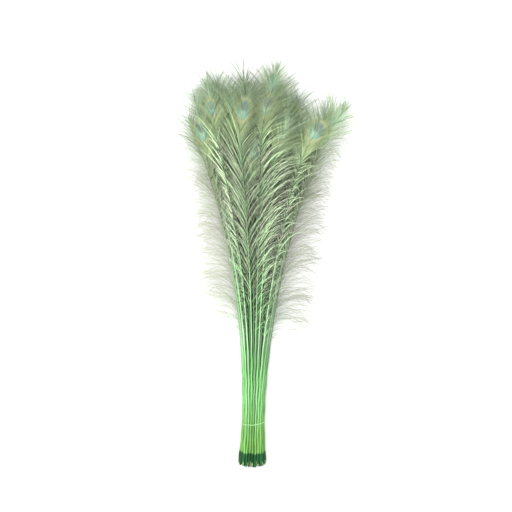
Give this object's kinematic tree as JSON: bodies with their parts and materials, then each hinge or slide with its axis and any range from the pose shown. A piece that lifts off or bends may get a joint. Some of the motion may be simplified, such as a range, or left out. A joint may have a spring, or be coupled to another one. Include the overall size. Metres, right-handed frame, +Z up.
{
  "type": "tied bunch of peacock feathers",
  "caption": "Bunch of pale green dyed peacock tail feathers, tied near the cut quill ends with a thread and lying flat, for display or craft use.",
  "frame": {"origin": "on the surface that the bunch lies on, under the middle of its outer box", "axes": "+Y from the cut quill ends to the feather tips, +X to the right when seen from above, +Z up"},
  "size_m": [0.3664, 0.7992, 0.0826],
  "materials": {
    "feather": "dyed barbs and glossy dyed quills",
    "thread": "matt twisted thread"
  },
  "bodies": {
    "root": {"feather_01": "feather", "feather_02": "feather", "feather_03": "feather", "feather_04": "feather", "feather_05": "feather", "feather_06": "feather", "feather_07": "feather", "feather_08": "feather", "feather_09": "feather", "feather_10": "feather", "feather_11": "feather", "feather_12": "feather", "feather_13": "feather", "feather_14": "feather", "feather_15": "feather", "feather_16": "feather", "feather_17": "feather", "feather_18": "feather", "feather_19": "feather", "feather_20": "feather", "feather_21": "feather", "feather_22": "feather", "feather_23": "feather", "feather_24": "feather", "feather_25": "feather", "feather_26": "feather", "feather_27": "feather", "feather_28": "feather", "feather_29": "feather", "feather_30": "feather", "feather_31": "feather", "feather_32": "feather", "feather_33": "feather", "feather_34": "feather", "feather_35": "feather", "feather_36": "feather", "feather_37": "feather", "feather_38": "feather", "feather_39": "feather", "feather_40": "feather", "feather_41": "feather", "feather_42": "feather", "feather_43": "feather", "feather_44": "feather", "feather_45": "feather", "feather_46": "feather", "feather_47": "feather", "feather_48": "feather", "feather_49": "feather", "feather_50": "feather", "feather_51": "feather", "tie_thread": "thread"}
  },
  "joints": []
}
